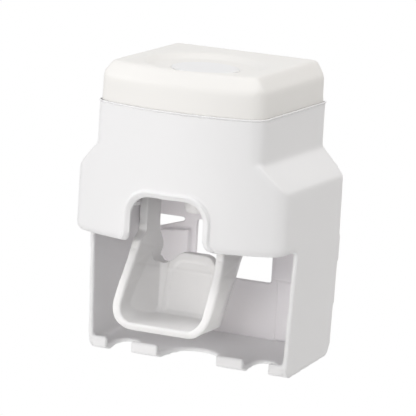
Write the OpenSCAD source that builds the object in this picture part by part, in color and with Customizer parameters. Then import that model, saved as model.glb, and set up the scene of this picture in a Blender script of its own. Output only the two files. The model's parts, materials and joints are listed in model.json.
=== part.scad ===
// Wall-held toothpaste dispenser with a push scoop and two toothbrush slots.
// Millimetres, +Z up, front towards -Y, wall plane at y = 0.
// Heights in this file are measured from the lowest edge; seated() moves them
// so that the origin lies in the middle of the wall face.

/* [Housing] */
// Width across the shoulders
body_w = 97.4; // [94:0.2:102]
// Overall height, up to the lid's top at the wall
body_h = 130.4; // [126:0.2:138]
// Width of the upper block
upper_w = 76.6; // [74:0.2:80]
// Depth from the wall plane to the front bulge
body_d = 75; // [70:1:80]
// Radius of the bulging front
front_r = 96; // [85:1:120]
// Corner radius of the upper block
upper_corner_r = 7; // [4:0.5:9]
// Corner radius below the shoulders
wide_corner_r = 9; // [6:0.5:12]
// Radius of the two rear vertical edges
rear_corner_r = 2; // [1:0.5:3]
// Wall thickness of the moulding
wall_t = 2.2; // [1.8:0.1:2.8]
// Height of the lid above its seam
lid_h = 18; // [15:0.2:20]
// Height where the shoulder slope starts
shoulder_top_z = 93.4; // [90:0.2:98]
// Height where the shoulder slope ends
shoulder_low_z = 82.2; // [78:0.2:88]
// Height of the lower edge of the front
shell_low_z = 55; // [50:0.5:58]

/* [Side walls and shelf] */
// Depth of the side walls under the shell
leg_d = 46; // [42:0.5:50]
// How much each side wall leans in at its foot
leg_lean = 2.1; // [0:0.1:3]
// Radius of the lower front corner of a side wall
leg_front_r = 6; // [3:0.5:8]
// Height of the lower rear corner of a side wall
leg_rear_z = 3; // [1:0.5:6]
// Radius of the lower rear corner of a side wall
leg_rear_r = 5; // [3:0.5:6]
// Thickness of the shelf
shelf_t = 1.9; // [1.5:0.1:3]
// Height of the shelf's upper face at its front
shelf_front_z = 3.0; // [2.5:0.1:5]
// Height of the shelf's upper face at the rear
shelf_rear_z = 6.1; // [4:0.1:8]
// Height of the up-turned lips
lip_z = 6.4; // [5:0.1:9]
// Thickness of the lips
lip_t = 2.6; // [2:0.1:4]
// Width of a toothbrush slot
brush_slot_w = 11.5; // [9:0.5:13]
// Distance from the middle to the centre of a toothbrush slot
brush_slot_x = 32.3; // [30:0.1:35]
// Depth of a toothbrush slot from the front
brush_slot_d = 14.5; // [12:0.5:18]
// Width of the middle cut-out
middle_cut_w = 27.8; // [20:0.2:32]
// Depth of the middle cut-out
middle_cut_d = 16; // [15:0.5:20]

/* [Arch] */
// Width of the opening in the front
arch_w = 33.4; // [30:0.2:38]
// Height of the top of the opening
arch_top_z = 75.6; // [72:0.2:80]
// Radius of the upper corners of the opening
arch_r = 8.5; // [6:0.5:12]
// Radius where the opening flares out to the lower edge
arch_flare_r = 5; // [3:0.5:6]
// Width of the rolled rim round the opening
arch_rim = 2.4; // [1.6:0.1:3]
// Depth of the rolled rim behind the front
arch_rim_d = 2.6; // [2.4:0.1:5]

/* [Rear panel] */
// Thickness of the rear panel
panel_t = 2.4; // [2:0.1:3]
// Gap round the rear panel
panel_gap = 0.15; // [0.1:0.05:0.3]
// Width of the middle window
window_w = 36.4; // [30:0.2:40]
// Height of the lower edge of the middle window
window_low_z = 30.7; // [26:0.1:34]
// Height of the upper edge of all three windows
window_top_z = 54.2; // [50:0.1:56]
// Near edge of a hook pocket, from the middle
pocket_x = 20.7; // [20:0.1:22]
// Width of a hook pocket
pocket_w = 14; // [12:0.5:16]
// Height of the lower edge of a hook pocket
pocket_z = 33; // [31:0.5:36]
// Height of a hook pocket
pocket_h = 15; // [13:0.5:17]
// How far a hook pocket stands proud of the panel
pocket_proud = 3; // [2:0.1:5]
// Near edge of a side window, from the middle
side_window_x = 24.4; // [23:0.1:26]

/* [Lid] */
// How far the lid's sides stand in from the seam
lid_inset = 0.8; // [0.4:0.05:1.2]
// Fall of the lid's top per millimetre towards the front
lid_fall = 0.005; // [0:0.005:0.02]
// Height of the side chamfer
lid_chamfer_h = 8.2; // [6:0.1:10]
// Width of the side chamfer
lid_chamfer_w = 4.2; // [2:0.1:6]
// Height of the front chamfer
lid_front_h = 8; // [6:0.1:10]
// Width of the front chamfer
lid_front_w = 4.6; // [3:0.1:7]
// Length of the lid's skirt inside the housing
skirt_h = 4; // [2:0.5:6]
// Gap between the skirt and the housing
skirt_gap = 0.25; // [0.15:0.05:0.5]
// Radius of the round well in the lid
well_r = 26; // [22:0.5:28]
// Depth of the well in its middle
well_d = 2.4; // [1.6:0.1:4]
// Width of the well's sloping wall
well_slope = 4; // [1:0.5:6]
// Distance of the well's centre from the wall plane
pump_y = 43; // [40:0.5:46]
// Radius of the plug in the middle of the well
plug_r = 14; // [12:0.5:15]
// How far the plug stands proud of the well's floor
plug_proud = 0.3; // [0:0.1:1]

/* [Scoop lever] */
// Width of the lever over its side plates
lever_w = 42; // [38:0.5:44]
// Thickness of the lever's side plates
lever_t = 3.4; // [2.8:0.1:4]
// Height of the lever's pivot
pivot_z = 78; // [76:0.5:80]
// Distance of the lever's pivot from the wall plane
pivot_y = 54; // [50:0.5:56]
// Radius of the eye round the pivot
eye_r = 5; // [4:0.5:6]
// Radius of the pivot pins
pin_r = 1.5; // [1.2:0.1:2]
// Gap round a pivot pin in the lever
pin_gap = 0.08; // [0.05:0.01:0.1]
// Height of the scoop's lowest face
scoop_low_z = 18.2; // [14:0.1:22]
// Thickness of the scoop's floor
scoop_floor_t = 3.4; // [2.5:0.1:4.5]
// Outer radius of the scoop's lower corners
scoop_corner_r = 11; // [8:0.5:12]
// How much the scoop's sides flare out below the arms
scoop_flare = 1.6; // [0:0.1:2]
// Lean of the scoop's rear corners towards the middle
scoop_taper = 20.2; // [10:0.2:24]
// Height of the top of the push pad
pad_top_z = 47.4; // [42:0.2:50]
// Half width of the raised frame on the push pad
pad_field_x = 11.8; // [9:0.2:13]
// How far the frame stands proud of the push pad
pad_field_proud = 1.1; // [0.6:0.1:2]
// Width of the frame
pad_frame_w = 2.4; // [1.6:0.1:3]

/* [Pump] */
// Height of the deck's underside
deck_z = 69; // [68:0.5:71]
// Thickness of the deck
deck_t = 2.4; // [2:0.1:3]
// Height of the plunger plate's underside at rest
plate_z = 75.6; // [75:0.1:76.5]
// Thickness of the plunger plate
plate_t = 2.5; // [2:0.1:3]
// Gap between the lever's lugs and the plunger plate
lug_gap = 0.3; // [0.2:0.05:0.5]
// Radius of the pump body
pump_r = 12.5; // [11:0.5:13]
// Height of the pump body above the bridge's underside
pump_h = 14; // [12:0.5:15]
// Depth of the bridge
bridge_d = 42; // [38:0.5:44]
// Height of the bridge's underside
bridge_z = 86; // [85:0.5:88]
// Thickness of the bridge
bridge_t = 3.5; // [2.5:0.5:4]
// Radius of the guide posts
post_r = 1.5; // [1.2:0.1:2]
// Distance of each guide post from the pump's centre
post_reach = 15.5; // [14:0.5:17]
// Running gap round a guide post
post_gap = 0.1; // [0.06:0.01:0.15]
// Outer radius of the return springs
spring_r = 3; // [2.6:0.1:3.6]
// Radius of the spring wire
wire_r = 0.3; // [0.25:0.05:0.4]
// Curls of a return spring
spring_curls = 5; // [4:1:6]
// Radius of the hole for the tube's neck
neck_r = 6.7; // [6:0.1:7.5]
// Length of the hole for the tube's neck, its seal included
neck_len = 15.4; // [12:0.2:18]
// Radius of the nozzle
nozzle_r = 5.6; // [4.5:0.1:6]
// Height of the nozzle's mouth
nozzle_z = 66; // [64:0.5:68]

/* [Fixings] */
// Radius of the screw shanks
screw_r = 1.25; // [1:0.05:1.5]
// Radius of the screw heads
screw_head_r = 2.5; // [2:0.1:3]
// Gap round a screw shank
screw_gap = 0.1; // [0.05:0.05:0.2]
// Thickness of the adhesive pads
tape_t = 0.8; // [0.5:0.1:1.2]

/* [Hidden] */
$fn = 64;
eps = 0.02;
leg_foot_rise = 0.4;
wall_face_z = 80;
half_w = body_w / 2;
upper_half = upper_w / 2;
arc_cy = front_r - body_d;
shoulder_bend = atan((half_w - upper_half) / (shoulder_top_z - shoulder_low_z));
shoulder_drop = wall_t * tan(shoulder_bend / 2);
foot_half = half_w - leg_lean;
inner_half = half_w - wall_t;
shelf_half = foot_half - wall_t - 0.1;
shelf_back_y = panel_t + 0.1;
peg_r = 0.8;
peg_len = 1.4;
peg_gap = 0.05;
inner_upper = upper_half - wall_t;
socket_drop = 5;
socket_r = 11;
socket_port_r = 3.4;
spigot_len = 1.4;
flap_r = 3.6;
slit_w = 0.8;
seam_z = body_h - lid_h;
lid_top_z = body_h;
lid_chamfer_z = body_h - lid_chamfer_h;
lid_front_z = body_h - lid_front_h;
pump_top_z = bridge_z + pump_h;
socket_top_z = body_h - socket_drop;
neck_low_z = socket_top_z - neck_len;
pump_bore_r = 7;
pump_port_r = 2.5;
flange_r = pump_r + 2;
flange_t = 3;
spigot_r = pump_bore_r - 0.2;
plate_r = pump_r - 1;
bridge_front_y = pivot_y + 10;
seal_r = neck_r - 0.5;
seal_t = 2;
plug_gap = 0.4;
deck_top_z = deck_z + deck_t;
plate_top_z = plate_z + plate_t;
lug_r = 1.6;
stem_r = 4;
lug_z = plate_z - lug_gap - lug_r;
cheek_x = 22.6;
cheek_t = 3;
arm_in = lever_w / 2 - lever_t;
slot_gap = 0.8;
bay_half = lever_w / 2 + slot_gap;
bay_back_y = 33;
screw_len = 9;
boss_r = 3.6;
boss_len = 12;
panel_screw_spots = [[inner_half - 3.1, 62], [inner_upper - 3.1, 103]];
bridge_screw_y = [60, 32];
foot_screw_x = 29.5;
foot_t = 2;
foot_w = 11;
floor_top_z = scoop_low_z + scoop_floor_t;
pad_lean = 0.265;
pad_foot_y = 47.5;
pad_y = pad_foot_y - pad_lean * (pad_top_z - floor_top_z);
pad_t = 3;
frame_t = 0.6;
plug_seat = 0.8;
plug_ledge = 1.2;
post_drop = 2.3;
taper_rise = 52.5;
// Front edge of the lever's side plates, from the eye down to the nose
front_edge = [[-54.8, 72.5], [-54.8, 61], [-56, 58.6], [-59.6, 55.4], [-60.8, 51], [-63.4, 44.6], [-68.4, 37], [-72.6, 30], [-74.6, 25.5],
              [-75.4, 22.5], [-75.4, 20.6], [-74.8, 19], [-73.4, scoop_low_z]];
// Rear edge, from the scoop's heel up to the arm
rear_edge = [[-53, scoop_low_z], [-48.5, 20.4], [-45.4, 24], [-34.8, 46.6], [-35.4, 49.5], [-37.6, 52.4],
             [-40.4, 55], [-41.2, 60], [-41.2, 76]];
// Upper edge of the push pad, right half
pad_crown = concat([[0, pad_top_z]], arc(4.5, pad_top_z - 5.5, 5.5, 90, 25, 5),
                   arc(arm_in - 2.8, pad_top_z - 1.8, 3.9, 230, 355, 6));
pocket_skin = 1.6;
pocket_fit = 0.3;
hook_t = 1.8;
bellows_r = 9.6;
bellows_skin = 1.1;
bellows_folds = 3;

// An arc of points round [cx, cy] from angle a0 to a1 in n steps
function arc(cx, cy, r, a0, a1, n) =
    [for (i = [0:n]) let (a = a0 + (a1 - a0) * i / n) [cx + r * cos(a), cy + r * sin(a)]];

// Plan outline: flat back, bulging front and rounded vertical corners
function plan_outline(half, bulge_r, corner_r, back_r, back_y) =
    let (fx = half - corner_r,
         turn = asin(fx / (bulge_r - corner_r)),
         fy = arc_cy - (bulge_r - corner_r) * cos(turn))
    concat(arc(0, arc_cy, bulge_r, -90 - turn, -90 + turn, 26),
           arc(fx, fy, corner_r, -90 + turn, 0, 8),
           arc(half - back_r, back_y - back_r, back_r, 0, 90, 4),
           arc(back_r - half, back_y - back_r, back_r, 90, 180, 4),
           arc(-fx, fy, corner_r, 180, 270 - turn, 8));

// Both halves of an outline that is given for its right half
function mirrored(points) =
    concat(points, [for (i = [len(points) - 1:-1:0]) [-points[i][0], points[i][1]]]);

// Front outline of the housing above its lower edge, right half
function shoulder_outline(wide, narrow, drop, low, top) =
    [[wide, low], [wide, shoulder_low_z - drop], [narrow, shoulder_top_z - drop], [narrow, top]];

// Outline of the arch, grown outwards by g
function arch_outline(g) =
    let (w = arch_w / 2 + g, t = arch_top_z + g, f = arch_flare_r - g, r = arch_r + g)
    mirrored(concat([[w + f, shell_low_z - 2]],
                    arc(w + f, shell_low_z + f, f, 270, 180, 6),
                    arc(w - r, t - r, r, 0, 90, 8)));

module seated() { translate([0, 0, -wall_face_z]) children(); }

// Extrudes an [x, z] outline from y0 back to y1, both measured towards the front
module along_y(y0, y1) {
    translate([0, -y0, 0]) rotate([90, 0, 0]) linear_extrude(y1 - y0) children();
}

// Extrudes a [y, z] outline along X, from x0 to x1
module along_x(x0, x1) {
    translate([x0, 0, 0]) rotate([90, 0, 90]) linear_extrude(x1 - x0) children();
}

module both_sides() {
    children();
    mirror([1, 0, 0]) children();
}

module upper_prism(inset, z0, z1, back_y) {
    translate([0, 0, z0]) linear_extrude(z1 - z0)
        polygon(plan_outline(upper_half - inset, front_r - inset, upper_corner_r - inset,
                             rear_corner_r - min(inset, 1), back_y));
}

module wide_prism(inset, z0, z1, back_y) {
    translate([0, 0, z0]) linear_extrude(z1 - z0)
        polygon(plan_outline(half_w - inset, front_r - inset, wide_corner_r - inset,
                             rear_corner_r - min(inset, 1), back_y));
}

module shoulder_block(inset, drop, low, top, back_y) {
    intersection() {
        wide_prism(inset, low, top, back_y);
        along_y(-20, body_d + 10)
            polygon(mirrored(shoulder_outline(half_w - inset, upper_half - inset, drop, low - 1, top + 1)));
    }
}

// Side outline of a side wall, with its round lower corners
module leg_side() {
    polygon(concat([[0, shell_low_z + 1], [-leg_d, shell_low_z + 1]],
                   arc(leg_front_r - leg_d, leg_front_r, leg_front_r, 180, 262, 6),
                   [[-leg_rear_r - 1, leg_rear_z - leg_foot_rise]],
                   arc(-leg_rear_r, leg_rear_z + leg_rear_r - leg_foot_rise, leg_rear_r, 280, 360, 6)));
}

module side_wall() {
    intersection() {
        along_x(half_w - leg_lean - wall_t - 2, half_w + 1) leg_side();
        along_y(-1, leg_d + 1)
            polygon([[foot_half - wall_t, -1], [foot_half, -1], [half_w, shell_low_z],
                     [half_w, shell_low_z + 1], [inner_half, shell_low_z + 1], [inner_half, shell_low_z]]);
    }
}

// Side outline of the shelf's front rail: a round underside and a lip on top
module front_rail() {
    polygon(concat([[lip_t - leg_d, shelf_front_z], [-leg_d + brush_slot_d, shelf_front_z]],
                   [[-leg_d + brush_slot_d, shelf_front_z - 1]],
                   arc(leg_front_r - leg_d, leg_front_r, leg_front_r, 268, 192, 6),
                   arc(lip_t / 2 - leg_d, lip_z - lip_t / 2, lip_t / 2, 180, 0, 8)));
}

// Two pegs that locate the shelf in a side wall
module shelf_pegs(g) {
    for (back = [10, 34]) {
        slope = (shelf_rear_z - shelf_front_z) / (leg_d - panel_t);
        translate([shelf_half - 1, -back, shelf_rear_z - shelf_t / 2 - slope * (back - panel_t)])
            rotate([0, 90, 0]) cylinder(h = 1 + peg_len + g, r = peg_r + g);
    }
}

// The shelf with its toothbrush slots and its middle cut-out
module brush_shelf() {
    color("white") seated() difference() {
        union() {
            both_sides() shelf_pegs(0);
            along_x(-shelf_half, shelf_half)
                polygon([[-leg_d, shelf_front_z - shelf_t], [-shelf_back_y, shelf_rear_z - shelf_t],
                         [-shelf_back_y, shelf_rear_z], [-leg_d, shelf_front_z]]);
            along_x(-shelf_half, shelf_half) front_rail();
        }
        both_sides() {
            translate([brush_slot_x, brush_slot_w / 2 - leg_d + brush_slot_d - brush_slot_w, -1])
                cylinder(h = 12, r = brush_slot_w / 2);
            translate([brush_slot_x - brush_slot_w / 2, -leg_d - 1, -1])
                cube([brush_slot_w, brush_slot_d - brush_slot_w / 2 + 1, 12]);
        }
        translate([0, middle_cut_d - middle_cut_w / 2 - leg_d, -1]) cylinder(h = 12, r = middle_cut_w / 2);
        translate([-middle_cut_w / 2, -leg_d - 1, -1])
            cube([middle_cut_w, middle_cut_d - middle_cut_w / 2 + 1, 12]);
    }
}

module screw_boss(x, z) {
    difference() {
        translate([x, -panel_t, z]) rotate([90, 0, 0]) cylinder(h = boss_len, r = boss_r);
        translate([x, -panel_t + 1, z]) rotate([90, 0, 0]) cylinder(h = screw_len + 2, r = screw_r + screw_gap);
    }
}

module housing_body() {
    difference() {
        union() {
            upper_prism(0, shell_low_z, seam_z, 0);
            shoulder_block(0, 0, shell_low_z, shoulder_top_z, 0);
        }
        upper_prism(wall_t, shell_low_z - 1, seam_z + 1, 10);
        shoulder_block(wall_t, shoulder_drop, shell_low_z - 1, shoulder_top_z, 10);
        along_y(body_d - 20, body_d + 5) polygon(arch_outline(0));
    }
    intersection() {
        difference() {
            along_y(body_d - arch_rim_d, body_d + 5) polygon(arch_outline(arch_rim));
            along_y(body_d - 20, body_d + 6) polygon(arch_outline(0));
        }
        upper_prism(0.4, shell_low_z, seam_z, 0);
    }
    both_sides() side_wall();
}

module housing() {
    color("white") seated() {
        difference() {
            housing_body();
            both_sides() shelf_pegs(peg_gap);
        }
        both_sides() {
            for (spot = panel_screw_spots) screw_boss(spot[0], spot[1]);
            // Ledge that carries the deck
            translate([inner_half - 2.4, -leg_d, deck_z - 2]) cube([2.8, leg_d - 10, 2]);
        }
    }
}

module panel_outline() {
    g = panel_gap;
    low = shelf_rear_z - shelf_t;
    polygon(mirrored([[foot_half - wall_t - g + leg_lean * low / shell_low_z, low],
                      [inner_half - g, shell_low_z],
                      [inner_half - g, shoulder_low_z - shoulder_drop],
                      [inner_upper - g, shoulder_top_z - shoulder_drop],
                      [inner_upper - g, seam_z - 0.1]]));
}

module side_window() {
    polygon([[side_window_x, window_top_z], [side_window_x, window_top_z - 1.6],
             [inner_half - 2.7, window_top_z - 7.6], [inner_half - 2.7, window_top_z]]);
}

// Pocket outline: rounded lower outer corner and a top that rises towards the middle
module pocket_outline(g) {
    r = 3.5;
    x0 = pocket_x + g;
    x1 = pocket_x + pocket_w - g;
    z0 = pocket_z + g;
    polygon(concat([[x0, z0]], arc(x1 - r, z0 + r, r, 270, 360, 6),
                   [[x1, pocket_z + pocket_h - g], [x0, pocket_z + pocket_h + 1.6 - g]]));
}

module rear_panel() {
    color("white") seated()
        difference() {
            union() {
                along_y(0, panel_t) panel_outline();
                both_sides() {
                    along_y(0, panel_t + pocket_proud) pocket_outline(0);
                    // Flat pilaster under the pocket, proud of the middle field
                    along_y(0, panel_t + 1.2)
                        polygon([[pocket_x + 1.5, shelf_rear_z + 0.3], [pocket_x + pocket_w, shelf_rear_z + 0.3],
                                 [pocket_x + pocket_w, pocket_z + 1], [pocket_x + 1.5, pocket_z + 1]]);
                }
            }
            along_y(-1, panel_t + 1)
                polygon([[-window_w / 2, window_low_z], [window_w / 2, window_low_z],
                         [window_w / 2, window_top_z], [-window_w / 2, window_top_z]]);
            both_sides() {
                along_y(-1, panel_t + 6) side_window();
                along_y(-1, panel_t + pocket_proud - pocket_skin) pocket_outline(pocket_skin);
                for (spot = panel_screw_spots) {
                    translate([spot[0], 1, spot[1]]) rotate([90, 0, 0]) cylinder(h = 6, r = screw_r + screw_gap);
                    translate([spot[0], eps, spot[1]]) rotate([90, 0, 0])
                        cylinder(h = 1.5, r1 = screw_head_r + 0.1, r2 = screw_r + screw_gap);
                }
            }
        }
}

module panel_screws() {
    color("silver") seated() both_sides() for (spot = panel_screw_spots)
        translate([spot[0], 0, spot[1]]) rotate([90, 0, 0]) {
            cylinder(h = 1.4, r1 = screw_head_r, r2 = screw_r);
            cylinder(h = screw_len, r = screw_r);
        }
}

module bay_deck() {
    color("white") seated()
        difference() {
            intersection() {
                wide_prism(wall_t + 0.3, deck_z, deck_top_z, 0);
                translate([-body_w, -bridge_front_y, 0]) cube([2 * body_w, bridge_front_y - panel_t - 0.1, 200]);
            }
            both_sides() {
                translate([panel_screw_spots[0][0] - 5, -boss_len - 4, deck_z - 1]) cube([10, 20, deck_t + 2]);
                for (y = bridge_screw_y)
                    translate([foot_screw_x, -y, deck_z - 1]) cylinder(h = deck_t + 2, r = screw_r + screw_gap);
            }
            // Wide bay for the lever's arms and the nozzle, open at the front
            translate([-bay_half, -bridge_front_y - 1, deck_z - 1])
                cube([2 * bay_half, bridge_front_y + 1 - bay_back_y, deck_t + 2]);
        }
}

module pump_bridge() {
    color("gainsboro") seated()
        difference() {
            union() {
                translate([-cheek_x - cheek_t, -bridge_front_y, bridge_z])
                    cube([2 * (cheek_x + cheek_t), bridge_d, bridge_t]);
                both_sides() {
                    translate([cheek_x, -bridge_front_y, deck_top_z])
                        cube([cheek_t, bridge_d, bridge_z - deck_top_z]);
                    translate([cheek_x, -bridge_front_y, deck_top_z])
                        cube([foot_w, bridge_d, foot_t]);
                }
            }
            both_sides() {
                translate([cheek_x - 1, -pivot_y, pivot_z]) rotate([0, 90, 0]) cylinder(h = 6, r = pin_r);
                for (y = bridge_screw_y)
                    translate([foot_screw_x, -y, deck_top_z - 1]) cylinder(h = 5, r = screw_r + screw_gap);
            }
            translate([0, -pump_y, bridge_z - 1]) cylinder(h = bridge_t + 2, r = pump_r + 0.1);
            for (s = [-1, 1])
                translate([0, s * post_reach - pump_y, bridge_z - 1]) cylinder(h = bridge_t + 2, r = post_r);
        }
}

module bridge_screws() {
    color("silver") seated() both_sides() for (y = bridge_screw_y)
        translate([foot_screw_x, -y, deck_z + 0.4]) {
            cylinder(h = deck_t + foot_t - 0.4, r = screw_r);
            translate([0, 0, deck_t + foot_t - 0.4]) cylinder(h = 1.5, r = screw_head_r);
        }
}

module pivot_pins() {
    color("silver") seated() both_sides() {
        translate([arm_in - 0.4, -pivot_y, pivot_z]) rotate([0, 90, 0])
            cylinder(h = cheek_x + cheek_t - arm_in + 0.4, r = pin_r);
        translate([cheek_x + cheek_t, -pivot_y, pivot_z]) rotate([0, 90, 0]) cylinder(h = 1.4, r = 2.6);
    }
}

module guide_posts() {
    color("silver") seated() for (s = [-1, 1])
        translate([0, s * post_reach - pump_y, plate_z - post_drop])
            cylinder(h = bridge_z + bridge_t - plate_z + post_drop, r = post_r);
}

module lever_side() {
    polygon(concat(front_edge, rear_edge, arc(-pivot_y, pivot_z, eye_r, 60, 215, 8)));
}

// A U in the [x, z] plane: sides that flare out below the arms and round lower corners
module scoop_u(half, low, r) {
    wide = half + scoop_flare;
    polygon(mirrored(concat([[0, low]], arc(wide - r, low + r, r, 270, 360, 8),
                            [[wide, 34], [half + scoop_flare * 0.7, 44], [half, 56], [half, 100]])));
}

// Cuts the rear corners of the scoop back towards the middle
module taper_cut(half) {
    both_sides()
        translate([half + scoop_flare, -66, 24.5]) rotate([taper_rise, 0, 0]) rotate([0, scoop_taper, 0])
            translate([0, -60, -60]) cube([30, 120, 60]);
}

// The hollow of the scoop and all that lies between the arms
module scoop_hollow() {
    intersection() {
        along_x(-lever_w, lever_w)
            polygon([[-90, floor_top_z - 0.4], [-pad_foot_y - 2, floor_top_z], [-pad_foot_y, floor_top_z + 2],
                     [-pad_y, pad_top_z], [-20, pad_top_z], [-20, 100], [-90, 100]]);
        difference() {
            along_y(10, 95) scoop_u(arm_in, floor_top_z - 0.6, scoop_corner_r - lever_t);
            taper_cut(arm_in);
        }
    }
}

// A slab parallel to the push pad, from y0 to y1 in front of it
module pad_slab(y0, y1) {
    along_x(-lever_w, lever_w)
        polygon([[-pad_foot_y - y1, floor_top_z + 1], [-pad_foot_y - y0, floor_top_z + 1],
                 [-pad_y - y0, pad_top_z + 1], [-pad_y - y1, pad_top_z + 1]]);
}

// Upright panel outline with round upper corners
module pad_panel(half, top, r) {
    along_y(20, 70) polygon(mirrored(concat([[half, floor_top_z]], arc(half - r, top - r, r, 0, 90, 6))));
}

// Raised frame on the push pad, with a shallow panel inside it
module pad_field() {
    difference() {
        intersection() {
            pad_slab(-pad_t / 2, pad_field_proud);
            pad_panel(pad_field_x, pad_top_z + 1, 7);
        }
        intersection() {
            pad_slab(pad_field_proud - frame_t, pad_field_proud + 1);
            pad_panel(pad_field_x - pad_frame_w, pad_top_z - pad_frame_w - 1, 5);
        }
    }
}

// Room behind the push pad, between the side plates
module pad_back() {
    intersection() {
        along_x(-lever_w, lever_w)
            polygon([[pad_t - pad_foot_y, floor_top_z + 2], [pad_t - pad_y, pad_top_z + 1],
                     [-20, pad_top_z + 1], [-20, floor_top_z + 2]]);
        difference() {
            along_y(10, 95) scoop_u(arm_in, floor_top_z + 1, scoop_corner_r - lever_t);
            taper_cut(arm_in);
        }
    }
}

module lever() {
    color("white") seated() {
        difference() {
            union() {
                difference() {
                    intersection() {
                        along_x(-lever_w, lever_w) lever_side();
                        along_y(10, 95) scoop_u(lever_w / 2, scoop_low_z, scoop_corner_r);
                    }
                    taper_cut(lever_w / 2);
                    scoop_hollow();
                    pad_back();
                }
                pad_field();
            }
            along_y(20, 46)
                intersection() {
                    polygon(mirrored(concat(pad_crown, [[arm_in + 1.1, 60], [0, 60]])));
                    scoop_u(arm_in, floor_top_z, scoop_corner_r - lever_t);
                }
            translate([-lever_w, -pivot_y, pivot_z]) rotate([0, 90, 0])
                cylinder(h = 2 * lever_w, r = pin_r + pin_gap);
        }
        // Lugs that lift the plunger plate
        both_sides() translate([arm_in - 3.2, -pump_y, lug_z]) rotate([0, 90, 0])
            cylinder(h = 4, r = lug_r);
    }
}

module plunger() {
    color("gainsboro") seated() translate([0, -pump_y, 0])
        difference() {
            union() {
                translate([0, 0, plate_z]) cylinder(h = plate_t, r = plate_r);
                translate([-arm_in + slot_gap, -4, plate_z]) cube([2 * (arm_in - slot_gap), 8, plate_t]);
                translate([-4, -post_reach - 3.6, plate_z]) cube([8, 2 * post_reach + 7.2, plate_t]);
                translate([0, 0, nozzle_z + 3.5]) cylinder(h = plate_z - nozzle_z - 3, r = stem_r - 0.02);
            }
            translate([0, 0, nozzle_z]) cylinder(h = 20, r = 2.2);
            for (s = [-1, 1])
                translate([0, s * post_reach, plate_z - 1]) cylinder(h = plate_t + 2, r = post_r + post_gap);
        }
}

module nozzle() {
    color("white") seated() translate([0, -pump_y, 0])
        difference() {
            union() {
                translate([0, 0, nozzle_z]) cylinder(h = 2, r1 = nozzle_r - 1, r2 = nozzle_r);
                translate([0, 0, nozzle_z + 2]) cylinder(h = 5, r = nozzle_r);
            }
            translate([0, 0, nozzle_z - 1]) cylinder(h = 6, r = 3);
            translate([0, 0, nozzle_z + 3.5]) cylinder(h = 6, r = stem_r);
        }
}

module outlet_valve() {
    color("lightgrey") seated() translate([0, -pump_y, nozzle_z + 0.6])
        difference() {
            cylinder(h = 2.9, r1 = 2.2, r2 = 3);
            translate([-0.25, -1.4, -1]) cube([0.5, 2.8, 3]);
            translate([0, 0, 1.6]) cylinder(h = 2, r = 1.8);
        }
}

// Folded sleeve between the plunger plate and the pump body
module bellows() {
    n = bellows_folds * 2;
    h = bridge_z - plate_top_z;
    outer = [for (i = [0:n]) [bellows_r - (i % 2 == 0 ? 1.4 : 0), plate_top_z + h * i / n]];
    inner = [for (i = [n:-1:0]) [outer[i][0] - bellows_skin, outer[i][1]]];
    color("lightgrey") seated() translate([0, -pump_y, 0]) rotate_extrude() polygon(concat(outer, inner));
}

module pump_body() {
    color("gainsboro") seated() translate([0, -pump_y, 0])
        difference() {
            union() {
                translate([0, 0, bridge_z]) cylinder(h = pump_top_z - bridge_z, r = pump_r);
                translate([0, 0, bridge_z + bridge_t]) cylinder(h = flange_t - 0.5, r = flange_r);
            }
            translate([0, 0, bridge_z - 1]) cylinder(h = pump_h / 2 + 1, r = pump_bore_r);
            translate([0, 0, bridge_z]) cylinder(h = pump_h + 1, r = pump_port_r);
            translate([0, 0, pump_top_z - flange_t]) cylinder(h = flange_t + 1, r = pump_bore_r);
        }
}

module inlet_valve() {
    color("lightgrey") seated() translate([0, -pump_y, pump_top_z - flange_t])
        difference() {
            cylinder(h = flange_t - spigot_len, r = spigot_r);
            // Curved slit that leaves a flap over the port
            difference() {
                translate([0, 0, -1]) cylinder(h = flange_t + 1, r = flap_r + slit_w);
                translate([0, 0, -1]) cylinder(h = flange_t + 1, r = flap_r);
                translate([-pump_bore_r, 1, -1]) cube([2 * pump_bore_r, pump_bore_r, flange_t + 1]);
            }
        }
}

module tube_socket() {
    color("white") seated() translate([0, -pump_y, 0])
        difference() {
            union() {
                translate([0, 0, pump_top_z - spigot_len]) cylinder(h = spigot_len, r = spigot_r);
                translate([0, 0, pump_top_z]) cylinder(h = flange_t, r = flange_r);
                translate([0, 0, pump_top_z]) cylinder(h = socket_top_z - pump_top_z, r = socket_r);
            }
            translate([0, 0, pump_top_z - flange_t]) cylinder(h = 2 * neck_len, r = socket_port_r);
            translate([0, 0, neck_low_z]) cylinder(h = 2 * neck_len, r = seal_r);
            translate([0, 0, neck_low_z + seal_t]) cylinder(h = 2 * neck_len, r = neck_r);
        }
}

module neck_seal() {
    color("lightgrey") seated() translate([0, -pump_y, neck_low_z])
        difference() {
            cylinder(h = seal_t, r = seal_r - 0.05);
            translate([0, 0, -1]) cylinder(h = seal_t + 2, r = socket_port_r + 0.2);
        }
}

// One unbroken wire: flat end curls and an even rise between them
module return_spring(z0, z1) {
    curl_r = spring_r - wire_r;
    rings = spring_curls * 8;
    rise = z1 - z0 - 2 * wire_r;
    sides = 6;
    points = [for (i = [0:rings], k = [0:sides - 1])
        let (turn = 360 * i / 8, tilt = 360 * k / sides, r = curl_r + wire_r * cos(tilt))
        [r * cos(turn), r * sin(turn), z0 + wire_r + rise * i / rings + wire_r * sin(tilt)]];
    skin = [for (i = [0:rings - 1], k = [0:sides - 1])
        let (a = i * sides + k, b = i * sides + (k + 1) % sides) [a, b, b + sides, a + sides]];
    first = [[for (k = [sides - 1:-1:0]) k]];
    last = [[for (k = [0:sides - 1]) rings * sides + k]];
    polyhedron(points, concat(skin, first, last), convexity = 8);
}

module return_spring_front() {
    color("silver") seated() translate([0, -pump_y - post_reach, 0]) return_spring(plate_top_z, bridge_z);
}

module return_spring_rear() {
    color("silver") seated() translate([0, -pump_y + post_reach, 0]) return_spring(plate_top_z, bridge_z);
}

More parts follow.
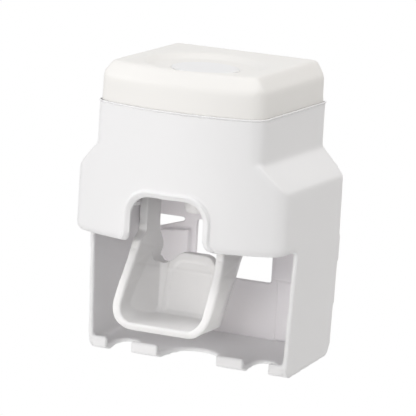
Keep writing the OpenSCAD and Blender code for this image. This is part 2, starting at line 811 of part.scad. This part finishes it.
// Solid outline of the lid before it is hollowed, shrunk by g
module lid_block(g) {
    h = upper_half - lid_inset - g;
    top = lid_top_z - g;
    c = lid_chamfer_w;
    intersection() {
        translate([0, 0, seam_z]) linear_extrude(40)
            polygon(plan_outline(h, front_r - lid_inset - g, upper_corner_r - min(g, 3),
                                 rear_corner_r - min(g, 1), -lid_inset - g));
        along_y(-5, body_d + 5)
            polygon(mirrored([[h + 1, seam_z - 1], [h + 1, lid_chamfer_z - g], [h - c, lid_top_z],
                              [h - c - 6, lid_top_z + 8]]));
        translate([0, arc_cy, 0])
            union() {
                translate([0, 0, seam_z - 1]) cylinder(h = lid_front_z - g - seam_z + 1, r = front_r - g, $fn = 180);
                translate([0, 0, lid_front_z - g])
                    cylinder(h = 8, r1 = front_r - g, r2 = front_r - g - lid_front_w * 8 / 6.4, $fn = 180);
            }
        along_x(-60, 60)
            polygon([[1, seam_z - 1], [1, top + lid_fall], [-body_d - 5, top - lid_fall * (body_d + 5)],
                     [-body_d - 5, seam_z - 1]]);
    }
}

module lid() {
    mid_top = lid_top_z - lid_fall * pump_y;
    floor_z = mid_top - well_d;
    color("ivory") seated()
        difference() {
            union() {
                difference() {
                    lid_block(0);
                    lid_block(wall_t);
                    translate([0, 0, seam_z - 1]) linear_extrude(3)
                        polygon(plan_outline(upper_half - 2 * wall_t, front_r - 2 * wall_t, 2, 1, -2 * wall_t));
                }
                // Floor and wall of the round well
                translate([0, -pump_y, floor_z - 1.8]) cylinder(h = mid_top - floor_z + 1, r = well_r + 1.8);
                // Skirt that sits inside the housing
                difference() {
                    translate([0, 0, seam_z - skirt_h]) linear_extrude(skirt_h + 2)
                        polygon(plan_outline(inner_upper - skirt_gap, front_r - wall_t - skirt_gap,
                                             upper_corner_r - wall_t, 1, -panel_t - 0.4));
                    translate([0, 0, seam_z - skirt_h - 1]) linear_extrude(skirt_h + 5)
                        polygon(plan_outline(inner_upper - skirt_gap - 1.8, front_r - wall_t - skirt_gap - 1.8,
                                             1.2, 0.6, -panel_t - 2.2));
                }
            }
            translate([0, -pump_y, floor_z]) cylinder(h = well_d + 0.01, r1 = well_r - well_slope, r2 = well_r);
            translate([0, -pump_y, floor_z + well_d]) cylinder(h = 4, r = well_r + 0.02);
            translate([0, -pump_y, floor_z - 3]) cylinder(h = 5, r = plug_r + plug_gap - plug_ledge);
            translate([0, -pump_y, floor_z - plug_seat]) cylinder(h = 5, r = plug_r + plug_gap);
        }
}

module well_plug() {
    floor_z = lid_top_z - lid_fall * pump_y - well_d;
    color("white") seated() translate([0, -pump_y, 0])
        union() {
            translate([0, 0, floor_z - plug_seat]) cylinder(h = plug_seat, r = plug_r);
            translate([0, 0, floor_z]) cylinder(h = plug_proud, r1 = plug_r, r2 = plug_r - 0.4);
        }
}

module wall_hooks() {
    color("gainsboro") seated() both_sides()
        difference() {
            along_y(tape_t, tape_t + hook_t) pocket_outline(pocket_skin + pocket_fit);
            along_y(tape_t + 0.8, tape_t + hook_t + 1)
                polygon([[pocket_x + 4, pocket_z + 4], [pocket_x + pocket_w - 4, pocket_z + 4],
                         [pocket_x + pocket_w - 4, pocket_z + 9], [pocket_x + 4, pocket_z + 9]]);
        }
}

module hook_tapes() {
    color("lightblue") seated() both_sides() along_y(0, tape_t) pocket_outline(pocket_skin + pocket_fit);
}

housing();
brush_shelf();
rear_panel();
bay_deck();
lid();
well_plug();
tube_socket();
neck_seal();
pump_body();
inlet_valve();
bellows();
plunger();
nozzle();
outlet_valve();
guide_posts();
return_spring_front();
return_spring_rear();
pump_bridge();
lever();
pivot_pins();
panel_screws();
bridge_screws();
wall_hooks();
hook_tapes();
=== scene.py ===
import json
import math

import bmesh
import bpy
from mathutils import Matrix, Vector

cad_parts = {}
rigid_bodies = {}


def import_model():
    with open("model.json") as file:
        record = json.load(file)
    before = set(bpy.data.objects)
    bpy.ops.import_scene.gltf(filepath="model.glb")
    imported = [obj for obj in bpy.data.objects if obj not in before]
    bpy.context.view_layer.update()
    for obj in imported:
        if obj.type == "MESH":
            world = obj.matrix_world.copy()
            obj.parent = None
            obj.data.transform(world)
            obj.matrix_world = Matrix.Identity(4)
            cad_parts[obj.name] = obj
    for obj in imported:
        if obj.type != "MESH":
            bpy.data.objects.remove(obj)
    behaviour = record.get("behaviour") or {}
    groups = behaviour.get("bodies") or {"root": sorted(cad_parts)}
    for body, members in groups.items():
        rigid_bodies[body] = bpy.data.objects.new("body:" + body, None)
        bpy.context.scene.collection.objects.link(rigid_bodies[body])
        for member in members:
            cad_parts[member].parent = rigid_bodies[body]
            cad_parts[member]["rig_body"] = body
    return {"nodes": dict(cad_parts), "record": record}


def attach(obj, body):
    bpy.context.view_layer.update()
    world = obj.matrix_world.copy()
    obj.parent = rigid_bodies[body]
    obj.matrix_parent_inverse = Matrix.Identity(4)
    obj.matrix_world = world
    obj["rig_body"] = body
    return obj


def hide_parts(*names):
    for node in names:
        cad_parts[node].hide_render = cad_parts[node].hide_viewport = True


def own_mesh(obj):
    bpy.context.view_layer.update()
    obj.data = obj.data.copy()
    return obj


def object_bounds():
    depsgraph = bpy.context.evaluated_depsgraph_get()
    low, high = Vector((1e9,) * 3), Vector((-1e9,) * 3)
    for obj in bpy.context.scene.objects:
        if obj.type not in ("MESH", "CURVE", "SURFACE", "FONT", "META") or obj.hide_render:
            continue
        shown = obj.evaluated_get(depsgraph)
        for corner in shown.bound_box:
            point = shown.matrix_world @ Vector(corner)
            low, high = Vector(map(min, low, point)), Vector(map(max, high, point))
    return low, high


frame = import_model()
cad_low, cad_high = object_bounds()

# %% [markdown]
# The dispenser comes in as a set of exact solids, one for each moulded or turned piece.
# They are true in size but sharp at every edge, and they have no finish.
# This lesson dresses them: it rounds the visible mouldings as a real mould would,
# gives each piece a plastic, silicone or steel surface, and sets up a plain studio.
# Every length is in metres, and heights count from the middle of the wall face.

MM = 0.001
LOWEST_EDGE = -80 * MM
collection = bpy.context.scene.collection
size = cad_high - cad_low
print(f"solids measure {size.x / MM:.1f} x {size.y / MM:.1f} x {size.z / MM:.1f} mm")

# %% [markdown]
# The camera stands in front and a little to the right, slightly above the lid.
# It is far away with a long lens, because the edges of the object hardly converge.
# The camera is also rolled a few degrees, as the object leans to the right in the picture.
# Its axes are worked out from three angles, which keeps the numbers easy to read.

# %% The camera
azimuth, elevation, roll = math.radians(24.4), math.radians(10.85), math.radians(3.4)
looked_at = Vector((-1 * MM, -27 * MM, -15 * MM))
distance, left_shift = 1.667, 1.2 * MM
back = Vector((math.sin(azimuth) * math.cos(elevation), -math.cos(azimuth) * math.cos(elevation),
               math.sin(elevation)))
level = Vector((math.cos(azimuth), math.sin(azimuth), 0))
upright = back.cross(level)
cam_right = level * math.cos(roll) + upright * math.sin(roll)
cam_up = upright * math.cos(roll) - level * math.sin(roll)
camera = bpy.data.objects.new("camera", bpy.data.cameras.new("camera"))
collection.objects.link(camera)
camera.matrix_world = Matrix((
    (cam_right.x, cam_up.x, back.x, 0), (cam_right.y, cam_up.y, back.y, 0),
    (cam_right.z, cam_up.z, back.z, 0), (0, 0, 0, 1)))
camera.location = looked_at + back * distance - level * left_shift
camera.data.sensor_width = 36
camera.data.lens = 337.5
camera.data.clip_end = 20
bpy.context.scene.camera = camera
bpy.context.scene.view_settings.view_transform = "Standard"
print("camera at", [round(v, 3) for v in camera.location])

# %% [markdown]
# The object hangs on a wall in use, but it is shown alone on white.
# A pale round floor lies well below it, so that its shadow is soft, and the white
# that the camera sees comes from the world. The world itself lights the object only a
# little. Soft panels do the rest, much as in a small product studio: one to the left and
# one in front light the front, one far to the right lights the side wall, one hangs above,
# and one lies low in front, where a white table would throw light up into the hollows.
# Their powers were fitted until each part was about as light as in the picture, then rounded.

# %% World and floor
world = bpy.data.worlds.new("studio")
bpy.context.scene.world = world
world.use_nodes = True
tree = world.node_tree
tree.nodes.clear()
sky = tree.nodes.new("ShaderNodeBackground")
sky.inputs["Color"].default_value = (1, 1, 1, 1)
sky.inputs["Strength"].default_value = 0.15
seen = tree.nodes.new("ShaderNodeBackground")
seen.inputs["Color"].default_value = (1, 1, 1, 1)
seen.inputs["Strength"].default_value = 1.0
path = tree.nodes.new("ShaderNodeLightPath")
either = tree.nodes.new("ShaderNodeMath")
either.operation = "MAXIMUM"
either_again = tree.nodes.new("ShaderNodeMath")
either_again.operation = "MAXIMUM"
choose = tree.nodes.new("ShaderNodeMixShader")
out = tree.nodes.new("ShaderNodeOutputWorld")
tree.links.new(path.outputs["Is Camera Ray"], either.inputs[0])
tree.links.new(path.outputs["Is Glossy Ray"], either.inputs[1])
tree.links.new(either.outputs[0], either_again.inputs[0])
tree.links.new(path.outputs["Is Transmission Ray"], either_again.inputs[1])
tree.links.new(either_again.outputs[0], choose.inputs["Fac"])
tree.links.new(sky.outputs[0], choose.inputs[1])
tree.links.new(seen.outputs[0], choose.inputs[2])
tree.links.new(choose.outputs[0], out.inputs["Surface"])

floor_mesh = bpy.data.meshes.new("floor")
bm = bmesh.new()
bmesh.ops.create_circle(bm, cap_ends=True, segments=96, radius=0.7)
bmesh.ops.translate(bm, verts=bm.verts, vec=(0, -0.03, LOWEST_EDGE - 0.22))
bm.to_mesh(floor_mesh)
bm.free()
floor = bpy.data.objects.new("floor", floor_mesh)
collection.objects.link(floor)
floor_paint = bpy.data.materials.new("floor_paint")
floor_paint.use_nodes = True
floor_paint.node_tree.nodes["Principled BSDF"].inputs["Base Color"].default_value = (0.9, 0.9, 0.9, 1)
floor_paint.node_tree.nodes["Principled BSDF"].inputs["Roughness"].default_value = 0.8
floor_mesh.materials.append(floor_paint)

# %% Soft panels of light
def light_panel(name, azimuth_deg, elevation_deg, distance, side, power, colour=(1, 1, 1)):
    a, e = math.radians(azimuth_deg), math.radians(elevation_deg)
    towards = Vector((math.sin(a) * math.cos(e), -math.cos(a) * math.cos(e), math.sin(e)))
    lamp = bpy.data.objects.new(name, bpy.data.lights.new(name, "AREA"))
    lamp.data.size = side
    lamp.data.energy = power
    lamp.data.color = colour
    lamp.location = looked_at + towards * distance
    lamp.rotation_mode = "QUATERNION"
    lamp.rotation_quaternion = towards.to_track_quat("Z", "Y")
    collection.objects.link(lamp)
    return lamp


cool, warm = (0.985, 0.99, 1.0), (1.0, 0.975, 0.945)
light_panel("left_panel", -62, 30, 1.2, 0.6, 4.4, cool)
light_panel("front_panel", 8, 13, 1.4, 0.5, 4.4, cool)
light_panel("right_panel", 110, 30, 1.2, 0.7, 4.9, warm)
light_panel("top_panel", 40, 74, 1.6, 1.0, 11.5)
light_panel("table_bounce", -14, -15, 1.2, 0.8, 5.1, warm)
print("five panels of light")

# %% [markdown]
# The white mouldings are satin plastic. Such a surface has a very fine, shallow grain
# from the mould, and its gloss is never quite even, because hands polish it here and there.
# Two noise patterns on Object coordinates do this: a fine one drives the bump, and a
# coarse one moves the roughness a little. The colour also drifts by a per cent or two.

# %% A satin plastic
def satin_plastic(name, colour, roughness=0.42, grain=0.00003, grain_size=900, drift=0.02):
    made = bpy.data.materials.new(name)
    made.use_nodes = True
    tree = made.node_tree
    shader = tree.nodes["Principled BSDF"]
    place = tree.nodes.new("ShaderNodeTexCoord")
    fine = tree.nodes.new("ShaderNodeTexNoise")
    fine.inputs["Scale"].default_value = grain_size
    fine.inputs["Detail"].default_value = 3
    coarse = tree.nodes.new("ShaderNodeTexNoise")
    coarse.inputs["Scale"].default_value = 24
    coarse.inputs["Detail"].default_value = 4
    bump = tree.nodes.new("ShaderNodeBump")
    bump.inputs["Strength"].default_value = 0.35
    bump.inputs["Distance"].default_value = grain
    gloss = tree.nodes.new("ShaderNodeMapRange")
    gloss.inputs["To Min"].default_value = roughness - 0.05
    gloss.inputs["To Max"].default_value = roughness + 0.06
    tint = tree.nodes.new("ShaderNodeMix")
    tint.data_type = "RGBA"
    tint.inputs[6].default_value = (*colour, 1)
    tint.inputs[7].default_value = (*[c * (1 - drift) for c in colour], 1)
    tree.links.new(place.outputs["Object"], fine.inputs["Vector"])
    tree.links.new(place.outputs["Object"], coarse.inputs["Vector"])
    tree.links.new(fine.outputs["Fac"], bump.inputs["Height"])
    tree.links.new(bump.outputs["Normal"], shader.inputs["Normal"])
    tree.links.new(coarse.outputs["Fac"], gloss.inputs["Value"])
    tree.links.new(gloss.outputs["Result"], shader.inputs["Roughness"])
    tree.links.new(coarse.outputs["Fac"], tint.inputs[0])
    tree.links.new(tint.outputs[2], shader.inputs["Base Color"])
    shader.inputs["IOR"].default_value = 1.46
    shader.inputs["Specular IOR Level"].default_value = 0.35
    return made


finishes = {
    "housing_white": satin_plastic("housing_white", (0.88, 0.876, 0.88)),
    "panel_white": satin_plastic("panel_white", (0.95, 0.925, 0.945), roughness=0.5),
    "lid_white": satin_plastic("lid_white", (0.89, 0.875, 0.85), roughness=0.45),
    "lever_white": satin_plastic("lever_white", (0.93, 0.92, 0.915), roughness=0.36),
    "inner_grey": satin_plastic("inner_grey", (0.55, 0.55, 0.57), roughness=0.5),
}
print("satin plastics:", ", ".join(finishes))

# %% [markdown]
# The valves, the seal and the folded sleeve are silicone: soft, slightly see-through and
# grey. A little subsurface light does more for it than real transparency, and it renders
# quickly. The springs, pins and screws are steel: the same pattern made metallic, with a
# finer and shallower grain. The adhesive pads behind the hooks are foam, with a deep grain.

# %% Silicone, steel and foam
silicone = satin_plastic("silicone", (0.62, 0.62, 0.64), roughness=0.5, grain=0.00002, grain_size=500)
skin = silicone.node_tree.nodes["Principled BSDF"]
skin.inputs["Subsurface Weight"].default_value = 0.3
skin.inputs["Subsurface Scale"].default_value = 0.002
finishes["silicone"] = silicone

steel = satin_plastic("steel", (0.58, 0.58, 0.60), roughness=0.28, grain=0.00001, grain_size=2500)
steel.node_tree.nodes["Principled BSDF"].inputs["Metallic"].default_value = 1.0
finishes["steel"] = steel

foam = satin_plastic("foam_tape", (0.62, 0.68, 0.74), roughness=0.8, grain=0.0001, grain_size=1500)
finishes["foam_tape"] = foam
for part in frame["record"]["subparts"]:
    solid = frame["nodes"][part["node"]]
    if solid.material_slots:
        solid.material_slots[0].material = finishes[part["material_slot"]]
    else:
        solid.data.materials.append(finishes[part["material_slot"]])

# %% [markdown]
# A moulded piece has no sharp edge: the mould's corners are all a little round, and the
# plastic shrinks into them. The quickest honest way to that look is to take a copy of the
# exact solid, weld its loose triangles, rebuild its skin from small even faces and relax
# them. Flat places stay flat, and every edge and inner corner gets a radius. The number of
# passes sets how soft the piece looks, and a softness between 0 and 1 for each point says
# where the passes count: a lid is soft on top and stays crisp at its seam.

# %% Rounding a copy of a solid
WELD = 1e-6


def welded_copy(nodes, name):
    """One object with the nodes' exact skins, their loose triangles welded."""
    mesh = bpy.data.meshes.new(name)
    bm = bmesh.new()
    for node in nodes:
        bm.from_mesh(frame["nodes"][node].data)
    bmesh.ops.remove_doubles(bm, verts=bm.verts, dist=WELD)
    bm.to_mesh(mesh)
    bm.free()
    piece = bpy.data.objects.new(name, mesh)
    collection.objects.link(piece)
    return piece


def dress(piece, nodes, slot):
    """Gives the piece its finish and smooth shading, ties it to the body it rides on, and hides the solids
    it stands in for.
    """
    piece.data.materials.clear()
    piece.data.materials.append(finishes[slot])
    piece.data.polygons.foreach_set("use_smooth", [True] * len(piece.data.polygons))
    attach(piece, frame["nodes"][nodes[0]]["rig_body"])
    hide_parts(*nodes)


def moulded_copy(nodes, name, face_size, passes, slot, softness=None, shift=None):
    """Even faces of face_size, moved by shift, then relaxed by that many passes where soft."""
    piece = welded_copy(nodes, name)
    rebuild = piece.modifiers.new("even_faces", "REMESH")
    rebuild.mode = "VOXEL"
    rebuild.voxel_size = face_size
    bake(piece)
    if shift:
        moves = [shift(v.co, v.normal) for v in piece.data.vertices]
        for v, move in zip(piece.data.vertices, moves):
            v.co += move
    relax = piece.modifiers.new("relax", "SMOOTH")
    relax.factor = 0.5
    relax.iterations = passes
    if softness:
        group = piece.vertex_groups.new(name="softness")
        for v in piece.data.vertices:
            group.add([v.index], softness(v.co), "REPLACE")
        relax.vertex_group = "softness"
    bake(piece)
    piece.vertex_groups.clear()
    piece.data.name = name
    dress(piece, nodes, slot)
    print(name, len(piece.data.polygons), "faces")
    return piece


def bake(piece):
    """Applies the object's modifiers to its mesh."""
    ready = bpy.data.meshes.new_from_object(piece.evaluated_get(bpy.context.evaluated_depsgraph_get()))
    piece.modifiers.clear()
    piece.data = ready


def ease(t):
    t = min(max(t, 0), 1)
    return t * t * (3 - 2 * t)


# %% [markdown]
# The housing is one thin shell, and the brush shelf is pegged between its side walls so
# closely that no joint shows. One skin covers both. The lower front edge is rolled inwards,
# and the arch has a raised collar round it. Both follow from where a point lies: the nearer
# it is to the lower edge, the more it moves in towards the middle, and the nearer it is to
# the crest of the collar, the more it moves out.

# %% The housing's skin
SEAM = 112.4 * MM + LOWEST_EDGE
SHOULDER_FOOT = 74 * MM + LOWEST_EDGE


def housing_softness(co):
    """Soft shoulders and corners, crisp seam and thin walls."""
    up = ease((co.z - SHOULDER_FOOT) / (6 * MM))
    return (0.3 + 0.7 * up) * ease((SEAM - 0.5 * MM - co.z) / (2.5 * MM))


shell = moulded_copy(["housing", "brush_shelf"], "housing_skin", 0.7 * MM, 16, "housing_white",
                     housing_softness)

front_radius = 96 * MM
front_centre = Vector((0, 21 * MM))
front_edge_z = 55 * MM + LOWEST_EDGE
side_edge_y = -46 * MM
wide_half = 48.7 * MM
corner_radius = 9 * MM
corner_y = -54.5 * MM
roll_radius = 3.4 * MM
roll_share = 0.8


def inwards(x, y):
    """Unit vector in plan from a point on the shell towards its inside."""
    corner = Vector((wide_half - corner_radius, corner_y))
    if abs(x) > corner.x and y < corner.y:
        return (Vector((math.copysign(corner.x, x), corner.y)) - Vector((x, y))).normalized()
    if y >= corner.y and abs(x) > corner.x:
        return Vector((-math.copysign(1, x), 0))
    return (front_centre - Vector((x, y))).normalized()


moved = 0
for v in shell.data.vertices:
    height = v.co.z - front_edge_z
    if -0.5 * MM < height < roll_radius and v.co.y < side_edge_y:
        drop = roll_radius - max(height, 0)
        inset = roll_radius - math.sqrt(max(roll_radius ** 2 - drop ** 2, 0))
        step = inwards(v.co.x, v.co.y) * inset * roll_share * ease((side_edge_y - v.co.y) / (5 * MM))
        v.co.x += step.x
        v.co.y += step.y
        moved += 1
print("points of the rolled edge:", moved)

# %% The collar round the arch
arch_half, arch_top, arch_corner, arch_flare = 16.7 * MM, 75.6 * MM + LOWEST_EDGE, 8.5 * MM, 5 * MM
collar_crest, collar_height = 2.4 * MM, 1.25 * MM
collar_inner, collar_outer = 2.6 * MM, 1.15 * MM
collar_end = 5 * MM
front_end_y = -60 * MM


def from_arch(x, z):
    """How far outside the arch's edge a point of the front lies."""
    across, up = abs(x) - (arch_half - arch_corner), z - (arch_top - arch_corner)
    flare = arch_flare - (z - front_edge_z)
    if flare > 0:
        return abs(x) - arch_half - arch_flare + math.sqrt(max(arch_flare ** 2 - flare ** 2, 0))
    if across > 0 and up > 0:
        return math.hypot(across, up) - arch_corner
    return max(across, up) - arch_corner


def collar_lift(distance):
    """Height of the collar: a slow rise from the opening and a steep outer flank."""
    t = distance - collar_crest
    return collar_height * (1 - ease(abs(t) / (collar_outer if t > 0 else collar_inner)))


def on_front(co):
    plan = Vector((co.x, co.y)) - front_centre
    at_skin = plan.length > front_radius - 1 * MM
    return co.z > front_edge_z - 1 * MM and at_skin and co.y < front_end_y


bm = bmesh.new()
bm.from_mesh(shell.data)
close = [e for e in bm.edges if all(
    on_front(v.co) and -1 * MM < from_arch(v.co.x, v.co.z) < collar_end for v in e.verts)]
bmesh.ops.subdivide_edges(bm, edges=close, cuts=1, use_grid_fill=True)
moved = 0
for v in bm.verts:
    if on_front(v.co):
        lift = collar_lift(from_arch(v.co.x, v.co.z))
        if lift > 0:
            out_way = (Vector((v.co.x, v.co.y)) - front_centre).normalized()
            v.co.x += out_way.x * lift
            v.co.y += out_way.y * lift
            moved += 1
bm.to_mesh(shell.data)
bm.free()
shell.data.polygons.foreach_set("use_smooth", [True] * len(shell.data.polygons))
shell.data.update()
print("points of the collar:", moved, "faces now", len(shell.data.polygons))

# %% [markdown]
# Under the lid the housing ends in a fine round lip that catches the light from above. Its
# line is the housing's own outline, found by cutting a copy of the solid with a level plane
# just under the seam and walking round its outer loop. A thin round section runs along it.

# %% The lip under the lid
lip_radius = 0.36 * MM
lip_inset = 0.15 * MM
lip_rise = 0.15 * MM
cut_drop = 0.05 * MM
REAR_STRIP = -7 * MM
bm = bmesh.new()
bm.from_mesh(frame["nodes"]["housing"].data)
bmesh.ops.remove_doubles(bm, verts=bm.verts, dist=WELD)
bmesh.ops.bisect_plane(bm, geom=bm.verts[:] + bm.edges[:] + bm.faces[:], dist=1e-7,
                       plane_co=(0, 0, SEAM - cut_drop), plane_no=(0, 0, 1),
                       clear_inner=True, clear_outer=True)
start = max(bm.verts, key=lambda v: v.co.x)
loop, here, last = [start.co.copy()], start, None
while True:
    ahead = [e.other_vert(here) for e in here.link_edges if e.other_vert(here) is not last]
    if not ahead or ahead[0] is start:
        break
    last, here = here, ahead[0]
    loop.append(here.co.copy())
bm.free()
line = bpy.data.curves.new("seam_lip", "CURVE")
line.dimensions = "3D"
line.bevel_depth = lip_radius
line.bevel_resolution = 3
spline = line.splines.new("POLY")
spline.points.add(len(loop) - 1)
for point, co in zip(spline.points, loop):
    side = (inwards(co.x, co.y) if co.y < REAR_STRIP else Vector((0, 0))) * lip_inset
    point.co = (co.x + side.x, min(co.y + side.y, -lip_radius), SEAM + lip_rise, 1)
spline.use_cyclic_u = True
drawn = bpy.data.objects.new("seam_lip_line", line)
collection.objects.link(drawn)
lip_mesh = bpy.data.meshes.new_from_object(drawn.evaluated_get(bpy.context.evaluated_depsgraph_get()))
bpy.data.objects.remove(drawn)
lip_mesh.name = "seam_lip"
lip_mesh.materials.clear()
lip_mesh.materials.append(finishes["housing_white"])
seam_lip = bpy.data.objects.new("seam_lip", lip_mesh)
collection.objects.link(seam_lip)
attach(seam_lip, frame["nodes"]["housing"]["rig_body"])
print("seam lip:", len(loop), "points,", len(lip_mesh.polygons), "faces")

# %% [markdown]
# The other mouldings need little shaping of their own: the copies' soft edges are what the
# picture shows. The lid is cream-white and the softest of the flat pieces. The scoop lever
# is thick and its rim is a round bead, but the frame on its push pad stays fairly crisp, so
# the softness is full near the front edge only. That edge is measured on the solid itself.
# The solid plug has a gap of 0.4 mm round it. The picture shows no dark ring there, so the
# plug's copy is grown sideways by slightly more than that, and closes the gap.

# %% Lid, plug, lever and rear panel
def lid_softness(co):
    return ease((co.z - SEAM - 0.6 * MM) / (4 * MM))


LEVEL = 4 * MM
NOSE_Y = -75 * MM
MOUTH_TOP = 57.5 * MM + LOWEST_EDGE
ARM_FRONT_Y = -54.8 * MM
bead_height, bead_width = 0.3 * MM, 3 * MM
mouth_step, mouth_fall = 6 * MM, 5 * MM
plug_growth = 0.45 * MM
lever_front = {}
for v in frame["nodes"]["lever"].data.vertices:
    level_no = round(v.co.z / LEVEL)
    lever_front[level_no] = min(lever_front.get(level_no, 0), v.co.y)


def rim_at(z):
    """Where the lever's front edge lies at a height, drawn evenly from level to level."""
    below = math.floor(z / LEVEL)
    share = z / LEVEL - below
    ends = [lever_front.get(n, NOSE_Y) for n in (below, below + 1)]
    return ends[0] * (1 - share) + ends[1] * share


def lever_softness(co):
    """Full on the rim, low on the push pad."""
    return 0.25 + 0.75 * ease(1.6 - (co.y - rim_at(co.z)) / (4 * MM))


def lever_shift(co, normal):
    """A bead on the rim, and an upright arm down to where the scoop's mouth juts out."""
    bead = bead_height * ease(1.2 - (co.y - rim_at(co.z)) / bead_width)
    limit = ARM_FRONT_Y - mouth_step * ease((MOUTH_TOP - co.z) / mouth_fall)
    back_by = max(limit - co.y, 0) if co.z > MOUTH_TOP - 7.5 * MM else 0
    return normal * bead + Vector((0, back_by, 0))


def plug_shift(co, normal):
    """Sideways growth of the plug, which closes the gap round it."""
    return Vector((normal.x, normal.y, 0)) * plug_growth


lid_skin = moulded_copy(["lid"], "lid_skin", 0.52 * MM, 60, "lid_white", lid_softness)
plug_skin = moulded_copy(["well_plug"], "plug_skin", 0.4 * MM, 3, "housing_white", shift=plug_shift)
lever_skin = moulded_copy(["lever"], "lever_skin", 0.38 * MM, 16, "lever_white", lever_softness, lever_shift)
panel_skin = moulded_copy(["rear_panel"], "panel_skin", 0.6 * MM, 3, "panel_white")

# %% [markdown]
# The folded sleeve and the two return springs stand between the pump and the plunger plate.
# The plate comes up when the lever is pushed, and they get shorter. The joint's range is 1.75 mm.
# Each gets a welded copy with its finish, shaded smooth but sharp at creases over 35 degrees,
# and a mesh of its own.

# %% Copies of the sleeve and the springs
CREASE = math.radians(35)
folds = {"bellows": "silicone", "return_spring_front": "steel", "return_spring_rear": "steel"}
for node, finish in folds.items():
    folding = welded_copy([node], f"{node}_folding")
    dress(folding, [node], finish)
    folding.data.set_sharp_from_angle(angle=CREASE)
    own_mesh(folding)
